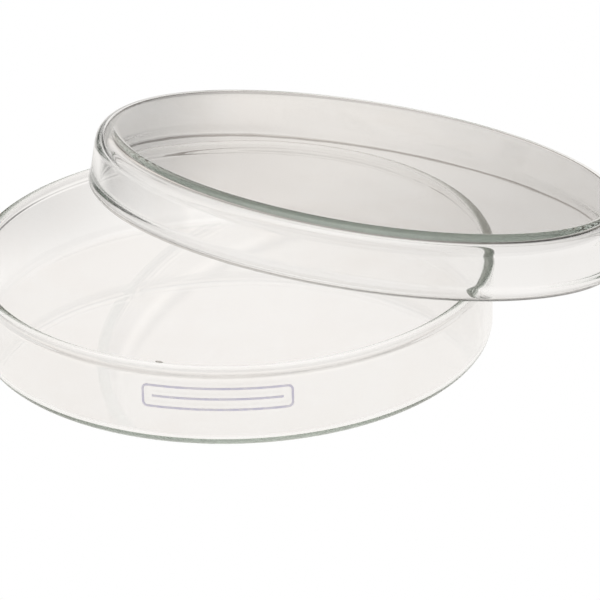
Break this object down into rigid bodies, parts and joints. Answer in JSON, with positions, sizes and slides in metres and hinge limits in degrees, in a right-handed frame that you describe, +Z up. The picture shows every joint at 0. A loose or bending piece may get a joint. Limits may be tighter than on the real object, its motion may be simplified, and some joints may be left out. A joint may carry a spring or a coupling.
{
  "type": "petri dish",
  "caption": "Shallow round clear-glass dish with a flat floor and a wider loose lid leaning open on its rim, for growing cultures under cover.",
  "frame": {"origin": "centre of the dish's underside, on the bench", "axes": "+Z up; +X from the dish's axis towards the leaning lid's centre; XZ is the plane of symmetry"},
  "size_m": [0.1291, 0.1, 0.0334],
  "materials": {
    "dish_glass": "clear soda-lime glass, fire-polished rim",
    "lid_glass": "clear soda-lime glass, fire-polished rim",
    "printed_mark": "fired-on pale blue enamel, matt"
  },
  "bodies": {
    "dish": {"dish_base": "dish_glass"},
    "lid": {"dish_lid": "lid_glass"}
  },
  "joints": [
    {"name": "lid_lift", "type": "slide", "parent": "dish", "child": "lid", "axis": [0, 0, 1], "range_m": [0, 0.04]}
  ]
}
